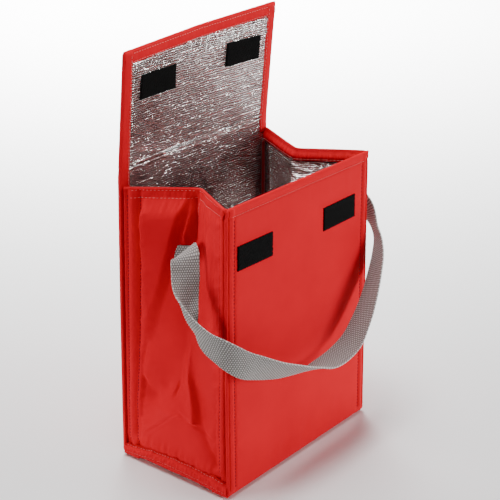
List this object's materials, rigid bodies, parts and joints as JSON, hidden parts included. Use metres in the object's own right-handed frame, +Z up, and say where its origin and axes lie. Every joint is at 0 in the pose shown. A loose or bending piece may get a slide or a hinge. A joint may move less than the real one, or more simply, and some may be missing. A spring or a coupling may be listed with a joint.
{
  "type": "cooler bag",
  "caption": "Upright soft lunch cooler bag, foil lined, with folding side gussets, a hook-and-loop top flap that folds over the mouth and a swinging webbing handle.",
  "frame": {"origin": "centre of the base's underside, on the surface the bag stands on", "axes": "+Z up, +X to the bag's right, -Y to the front, where the loop patches are"},
  "size_m": [0.2572, 0.1671, 0.3977],
  "materials": {
    "red_nylon": "woven red nylon with a soft sheen",
    "foam": "closed-cell foam sheet",
    "foil": "crinkled metallised liner film",
    "webbing": "grey woven webbing",
    "hook_and_loop": "black hook and loop tape"
  },
  "bodies": {
    "bag": {"base_outer": "red_nylon", "front_outer": "red_nylon", "front_welt_left": "red_nylon", "front_welt_right": "red_nylon", "front_hem": "red_nylon", "back_outer": "red_nylon", "back_welt_left": "red_nylon", "back_welt_right": "red_nylon", "flap_fold_strip": "red_nylon", "left_gusset_outer": "red_nylon", "left_gusset_hem": "red_nylon", "left_base_band": "red_nylon", "right_gusset_outer": "red_nylon", "right_gusset_hem": "red_nylon", "right_base_band": "red_nylon", "base_foam": "foam", "front_foam": "foam", "back_foam": "foam", "left_gusset_foam": "foam", "right_gusset_foam": "foam", "base_liner": "foil", "front_liner": "foil", "back_liner": "foil", "left_gusset_liner": "foil", "right_gusset_liner": "foil", "handle_tab_left": "webbing", "handle_tab_right": "webbing", "loop_patch_left": "hook_and_loop", "loop_patch_right": "hook_and_loop"},
    "flap": {"flap_outer": "red_nylon", "flap_foam": "foam", "flap_liner": "foil", "flap_binding_left": "red_nylon", "flap_binding_right": "red_nylon", "flap_binding_top": "red_nylon", "hook_patch_left": "hook_and_loop", "hook_patch_right": "hook_and_loop"},
    "handle": {"handle": "webbing"}
  },
  "joints": [
    {"name": "flap_fold", "type": "hinge", "parent": "bag", "child": "flap", "pos_m": [0, 0.05967, 0.28844], "axis": [1, 0, 0], "range_deg": [-120, 86]},
    {"name": "handle_swing", "type": "hinge", "parent": "bag", "child": "handle", "pos_m": [0, 0.002, 0.222], "axis": [-1, 0, 0], "range_deg": [0, 140]}
  ]
}
